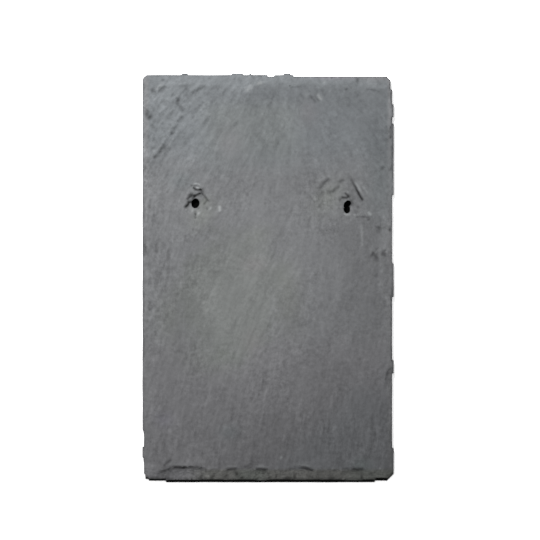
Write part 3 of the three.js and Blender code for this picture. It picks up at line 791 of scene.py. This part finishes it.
# Fewer triangles where no mark or ledge lies, with the points that this pushes out of the solid's box put back
def thin(piece, triangles, marked):
    group = piece.vertex_groups.new(name="plain")
    group.add(np.flatnonzero(~marked).tolist(), 1, "REPLACE")
    piece.data.calc_loop_triangles()
    decimate = piece.modifiers.new("thin", "DECIMATE")
    decimate.ratio = triangles / len(piece.data.loop_triangles)
    decimate.vertex_group = "plain"
    applyModifiers(piece)
    piece.vertex_groups.clear()
    low, high = [np.array(corner) / mm for corner in cadBox]
    place = np.clip(pointArrays(piece.data)[1], low + 0.001, high - 0.001)
    piece.data.vertices.foreach_set("co", (place * mm).ravel())
    piece.data.update()


def keepAttribute(mesh, name, values):
    attribute = mesh.attributes.new(name, "FLOAT", "POINT")
    attribute.data.foreach_set("value", values.astype(np.float32))


# The face away from the dressed edges and the nail holes
def innerFace(x, y, v, holes):
    inner = (abs(x) < v["softHalfWidth"]) & (abs(y - v["softMiddle"]) < v["softHalfLength"])
    for hole in holes:
        middle = np.mean(hole["box_m"], axis=0) / mm
        inner = inner & (np.hypot(x - middle[0], y - middle[1]) > v["softHole"])
    return inner


# Lets the face's flats and steps run into one another, up and down only
def softenFace(piece, v, holes):
    mesh = piece.data
    facing, place = pointArrays(mesh)
    x, y, z = place.T
    inner = innerFace(x, y, v, holes) & (z > v["wallHeight"])
    upper = (facing[:, 2] > v["softFacing"]) & (z > v["faceHeight"])
    group = piece.vertex_groups.new(name="face")
    group.add(np.flatnonzero(inner | upper).tolist(), 1, "REPLACE")
    soften = piece.modifiers.new("soften", "SMOOTH")
    soften.vertex_group = "face"
    soften.use_x = False
    soften.use_y = False
    soften.factor = 0.5
    soften.iterations = v["softening"]
    applyModifiers(piece)
    piece.vertex_groups.clear()

    # The points of a step stand one above another until they are spread over the face
    group = piece.vertex_groups.new(name="inner")
    group.add(np.flatnonzero(inner).tolist(), 1, "REPLACE")
    spread = piece.modifiers.new("spread", "SMOOTH")
    spread.vertex_group = "inner"
    spread.factor = 0.5
    spread.iterations = v["spreading"]
    applyModifiers(piece)
    piece.vertex_groups.clear()


# Which way each point faces, and where it is in mm
def pointArrays(mesh):
    facing = np.empty(3 * len(mesh.vertices))
    mesh.vertex_normals.foreach_get("vector", facing)
    place = np.empty(3 * len(mesh.vertices))
    mesh.vertices.foreach_get("co", place)
    return facing.reshape(-1, 3), place.reshape(-1, 3) / mm


# Moves the fine mesh's points to make the cleft, the ledges and the broken edges
def giveRelief(piece, v, holes):
    mesh = piece.data
    count = len(mesh.vertices)
    facing, place = pointArrays(mesh)
    x, y, z = place.T
    low, high = [np.array(corner) / mm for corner in cadBox]

    up = smooth(facing[:, 2], *v["levelFacing"])
    down = smooth(-facing[:, 2], *v["levelFacing"])
    wall = 1 - up - down
    broken = np.maximum(smooth(facing[:, 2], *v["brokenFacing"]), smooth(z, *v["brokenHeight"]))
    broken = broken * up * (1 - innerFace(x, y, v, holes))
    rim = (z < v["rimHeight"]) & (down < 0.98)

    field = {key: np.zeros(count) for key in ("height", "grime", "pale", "moss")}
    for group in ledges.values():
        for ownValues in group:
            addLedge(x, y, ownValues, field)
    for group in marks.values():
        addMarks(x, y, group, field)
    face = np.flatnonzero((facing[:, 2] > v["grainFacing"]) & (z > v["wallHeight"]))
    grain = np.zeros(count)
    grain[face] = grainRelief(x[face], y[face], v)
    relief = field["height"] + grain * (1 - v["brokenGrain"] * broken) - v["faceDrop"]

    # Broken stone steps down layer by layer
    waver = mixedNoise(x, y, v["layerWaver"], seeds["waver"])
    layered = terraced(z / v["layer"] + waver, v["layerRise"]) - waver
    steps = (layered * v["layer"] - z) * v["layerShare"]
    rough = mixedNoise(x, y, v["brokenGrains"], seeds["broken"])
    relief = relief + broken * (steps + v["brokenRough"] * rough)
    place[:, 2] += up * relief

    # Walls lose up to wallRough, in layers, and the back is cleft too
    along = x + y
    sheet = np.floor(z / v["layer"] + 0.4 * waver)
    sheets = softNoise(along / v["sheetSize"][0], sheet * v["sheetSize"][1], seeds["sheets"])
    chips = softNoise(along / v["chipSize"][0], z / v["chipSize"][1], seeds["chips"])
    inward = wall * smooth(z, *v["wallFrom"]) * v["wallRough"] * (0.5 + 0.3 * sheets + 0.4 * chips)
    place[:, :2] -= facing[:, :2] * inward[:, None]
    back = 0.5 + 0.5 * streaks(x, y, *v["backStreaks"], seeds["back"])
    place[:, 2] += down * v["backRough"] * np.maximum(back, 0)

    place = np.clip(place, low, high)
    mesh.vertices.foreach_set("co", (place * mm).ravel())
    mesh.update()
    # Painted shade: the lower part of the tail's wall, which faces away from the lamp, is marked to be painted nearly
    # black
    top = v["shadeTop"] - v["shadeDrop"] * smooth(x, *v["shadeDropFrom"])
    tailShaded = smooth(z + v["shadeWaver"] * waver, top + v["shadeFade"], top - v["shadeFade"])
    keepAttribute(mesh, "tailWallShade", smooth(-facing[:, 1], *v["shadeFacing"]) * tailShaded)
    # Painted shade along the arrises: the sides' walls, the left one less, and the head's wall are marked to be
    # darkened
    side = smooth(abs(facing[:, 0]), *v["sideShadeFacing"]) * (z > v["wallHeight"]) * np.where(x < 0, v["leftSideShade"], 1)
    head = v["headRimShade"] * smooth(facing[:, 1], *v["levelFacing"]) * (z > 0.5)
    keepAttribute(mesh, "rim", np.maximum(side, head))
    keepAttribute(mesh, "turn", runValue(x, y, v["runs"], "turn"))
    keepAttribute(mesh, "pull", runValue(x, y, v["runs"], "pull"))
    keepAttribute(mesh, "rough", 1 + patchesAt(x, y, v["rougher"]))
    keepAttribute(mesh, "tone", patchesAt(x, y, v["tones"]))
    keepAttribute(mesh, "red", 1 + patchesAt(x, y, v["hues"], "red"))
    keepAttribute(mesh, "blue", 1 + patchesAt(x, y, v["hues"], "blue"))
    keepAttribute(mesh, "moss", np.clip(field["moss"], 0, 1))
    keepAttribute(mesh, "broken", np.maximum(broken, wall))
    keepAttribute(mesh, "wall", wall)
    keepAttribute(mesh, "grime", np.clip(field["grime"], 0, 1.5))
    keepAttribute(mesh, "pale", np.clip(field["pale"], 0, 2))
    keepAttribute(mesh, "ridge", grain)
    return rim | (np.maximum(field["grime"], field["pale"]) > v["markedFrom"])


# Shader noise drawn out along the cleft's run
def drawnNoise(tree, place, turn, ways, scale, along):
    total = 0
    for way in ways:
        share = (1 - (turn - way).size() * (1 / (ways[1] - ways[0]))).most(0)
        total = share * tree.noise(tree.turned(place, -way, (along, 1, 1)), scale, 3, 0.6) + total
    return total


# Scattered round spots, one to each cell, each of its own strength
def spots(tree, place, scale, shift):
    moved = tree.node("ShaderNodeVectorMath", {"operation": "ADD"}, place, shift)
    settings = {"voronoi_dimensions": "2D", "feature": "F1"}
    away = tree.node("ShaderNodeTexVoronoi", settings, Vector=moved, Scale=scale, output="Distance")
    own = tree.node("ShaderNodeTexVoronoi", settings, Vector=moved, Scale=scale, output="Color")
    return (1 - away.between(0.02, 0.07)) * tree.axes(own)[0]


# The stone's look. Tints are linear and distances in metres. A change runs from the first of a pair to the second.
stone = {
    "grey": 0.182,            # at the slate's middle
    "paintedLightFall": (-0.12, 0.08),   # painted light: for each metre to the right, and for each metre towards the head
    "middle": {"x": 0, "y": -0.03, "across": 120, "along": 60, "gain": 0.14},
    "corner": (0.09, 0.25),
    "farCornerShade": 0.16,
    "headLeft": (0.1, 0.32),
    "nearCornerLight": 0.02,
    "tailStrip": (0.186, 0.19),
    "tailBevelShade": (0.1945, 0.198),
    "tailBevelShadeLoss": 0.36,
    "layers": 0.9,            # how plainly each of these shows
    "broken": 0.06,
    "rim": 0.12,
    "grime": 0.75,
    "darkest": 0.06,
    "bodyTint": (0.98, 1, 1.033, 1),
    "lowTint": (1, 1, 1.04, 1),
    "low": (0.045, 0.08),
    "greenTint": (0.96, 1, 0.98, 1),
    "green": {"x": -0.035, "y": -0.015, "across": 190, "along": 150},
    "greenFade": (0.25, 0.8),
    "violetTint": (0.973, 1, 1.047, 1),
    "violet": (0.17, 0.22),
    "headTint": (0.936, 1, 1.05, 1),
    "head": (0.09, 0.14),
    "headMiddleTint": (0.936, 1, 1.012, 1),
    "mossTint": (0.96, 1, 0.95, 1),
    "paleTint": (0.96, 1, 1.01, 1),
    "sideTint": (0.99, 1, 1.03, 1),
    "sides": (0.1155, 0.119),
    "earthTint": (1, 1, 0.955, 1),
    "greenEarthTint": (0.95, 1, 0.935, 1),
    "roughness": 0.66,
    "specular": 0.2,
    "bump": 0.6,
    "bumpHeight": 0.0005,
    "paintedTailShade": 0.008,            # grey of the shade painted on the tail's wall
}


# Grows with the square of the distance from a place
def bowl(x, y, v):
    dx, dy = x - v["x"], y - v["y"]
    return dx * dx * v["across"] + dy * dy * v["along"]


# The blue at the head, the green in the middle of the left half and round the holes, and the violet further down
def stoneTint(tree, v, x, y, patch, mottle, pale, tailStrip):
    low = (0.03 * patch - y).between(*v["low"])
    head = (y + 0.03 * patch).between(*v["head"])
    green = 1 - (bowl(x, y, v["green"]) + 0.9 * patch + 0.4 * mottle).between(*v["greenFade"])
    headMiddle = (1 - (x + 0.015).size().between(0.03, 0.06)) * head * (1 - y.between(0.16, 0.18))
    tint = tree.mix(low, v["bodyTint"], v["lowTint"])
    for amount, name in [(green, "greenTint"), ((x - y).between(*v["violet"]), "violetTint"), (head, "headTint"),
                         (headMiddle, "headMiddleTint"), (tree.attribute("moss"), "mossTint"),
                         (pale.least(1.0) * 0.7, "paleTint"), (x.size().between(*v["sides"]) * 0.7, "sideTint")]:
        tint = tree.mix(amount, tint, v[name])
    greener = (1 - (x + 0.016).size().between(0.008, 0.022)).most(x.between(0.07, 0.09) * 0.7)
    earthy = tree.mix(greener, v["earthTint"], v["greenEarthTint"])
    tint = tree.mix(tailStrip * x.between(-0.085, -0.055), tint, earthy)
    stained = tree.node("ShaderNodeCombineColor", None, tree.attribute("red"), 1.0, tree.attribute("blue"))
    return tree.mix(1, tint, stained, "MULTIPLY")


def makeSlateStone(v, ways):
    tree = Tree("rivenSlate")
    place = tree.coordinates()
    x, y = tree.axes(place)[:2]
    broken = tree.attribute("broken")
    pale = tree.attribute("pale")
    pull = tree.attribute("pull")
    strokes, ribs, band, swath = [drawnNoise(tree, place, tree.attribute("turn"), ways, scale, along)
                                  for scale, along in [(330, 0.3), (150, 0.22), (70, 0.3), (28, 0.35)]]
    strokes, ribs = strokes * pull, ribs * pull
    speckle = tree.noise(place, 800, 3, 0.6)
    grain = tree.noise(place, 270, 2, 0.55)
    mottle = tree.noise(place, 120, 2, 0.5)
    patch = tree.noise(place, 22, 3, 0.6)
    cloud = tree.noise(place, 36, 1, 0.5)
    grit = tree.noise(place, 900, 4, 0.7)
    layers = tree.noise(tree.turned(place, 0, (0.07, 0.07, 1)), 1300, 3, 0.6) * tree.attribute("wall")

    # Painted light: paler towards the head and the left, darker at the tail's right corner, part of the fall of the
    # lamp's light across the slate put into the colour on top of the lamp's own fall
    middle = 1 - bowl(x, y, v["middle"]).least(1.0)
    corner = (x * 0.5 - y + 0.03 * patch).between(*v["corner"])
    headLeft = (y - x).between(*v["headLeft"])
    level = v["grey"] + v["paintedLightFall"][1] * y + v["paintedLightFall"][0] * x + v["nearCornerLight"] * headLeft
    level = level * (1 + v["middle"]["gain"] * middle) * (1 - v["farCornerShade"] * corner)
    level = level * (1 + tree.attribute("tone"))
    lively = (1 + 2.4 * cloud).most(0.4) * tree.attribute("rough")
    tailStrip = (0 - y).between(*v["tailStrip"])
    fine = 0.15 * speckle + 0.45 * strokes + 0.5 * ribs + (0.42 + 0.6 * tailStrip) * grain + 0.3 * mottle
    fine = fine + 0.12 * spots(tree, place, 38, (0.4, 0.7, 0)) - 0.14 * spots(tree, place, 34, (0, 0, 0))
    # The colour is a little paler on the grain's crests and a little darker in its hollows
    level = level * (1 + 0.15 * tree.attribute("ridge") + lively * fine + 0.35 * band + 0.3 * swath + 0.08 * patch)
    # The rim darkening is painted shade on the arrises
    level = level * (1 + v["layers"] * layers) * (1 + v["broken"] * broken) * (1 - v["rim"] * tree.attribute("rim"))
    # Grime and painted shade darken the ledges, pits, holes and notches
    level = (level + 0.1 * pale) * (1 - v["grime"] * tree.attribute("grime")).most(v["darkest"])
    # Painted shade: darker over the tail's outermost few mm, where its bevel falls away from the lamp
    level = level * (1 - v["tailBevelShadeLoss"] * (0 - y).between(*v["tailBevelShade"]))
    tint = stoneTint(tree, v, x, y, patch, mottle, pale, tailStrip)
    colour = tree.mix(1, tint, tree.node("ShaderNodeCombineColor", None, level, level, level), "MULTIPLY")
    bump = tree.node("ShaderNodeBump", None, Strength=v["bump"], Distance=v["bumpHeight"],
                     Height=grit + 1.2 * strokes + 3 * layers)
    shader = {"Specular IOR Level": v["specular"], "Normal": bump,
              "Roughness": v["roughness"] + 0.2 * speckle + 0.1 * broken}
    bare = tree.node("ShaderNodeBsdfPrincipled", None, colour, **shader)
    # Painted shade: where marked, the tail's wall becomes a nearly black matt shader
    paintedTailShade = tree.node("ShaderNodeBsdfDiffuse", None, grey(v["paintedTailShade"]))
    return tree.surface(tree.node("ShaderNodeMixShader", None, tree.attribute("tailWallShade"), bare, paintedTailShade))


rivenSlate = fineCopy(frame["nodes"]["slate_tile"], slate["cells"])
print("fine copy made:", len(rivenSlate.data.polygons), "faces")
holes = frame["record"]["physics"]["openings"]
softenFace(rivenSlate, slate, holes)
marked = giveRelief(rivenSlate, slate, holes)
thin(rivenSlate, slate["triangles"], marked)
rivenSlate.data.shade_smooth()
rivenSlate.data.materials.append(makeSlateStone(stone, slate["ways"]))
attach(rivenSlate, "root")
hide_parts("slate_tile")
rivenSlate.data.calc_loop_triangles()
print("slate made:", len(rivenSlate.data.loop_triangles), "triangles")
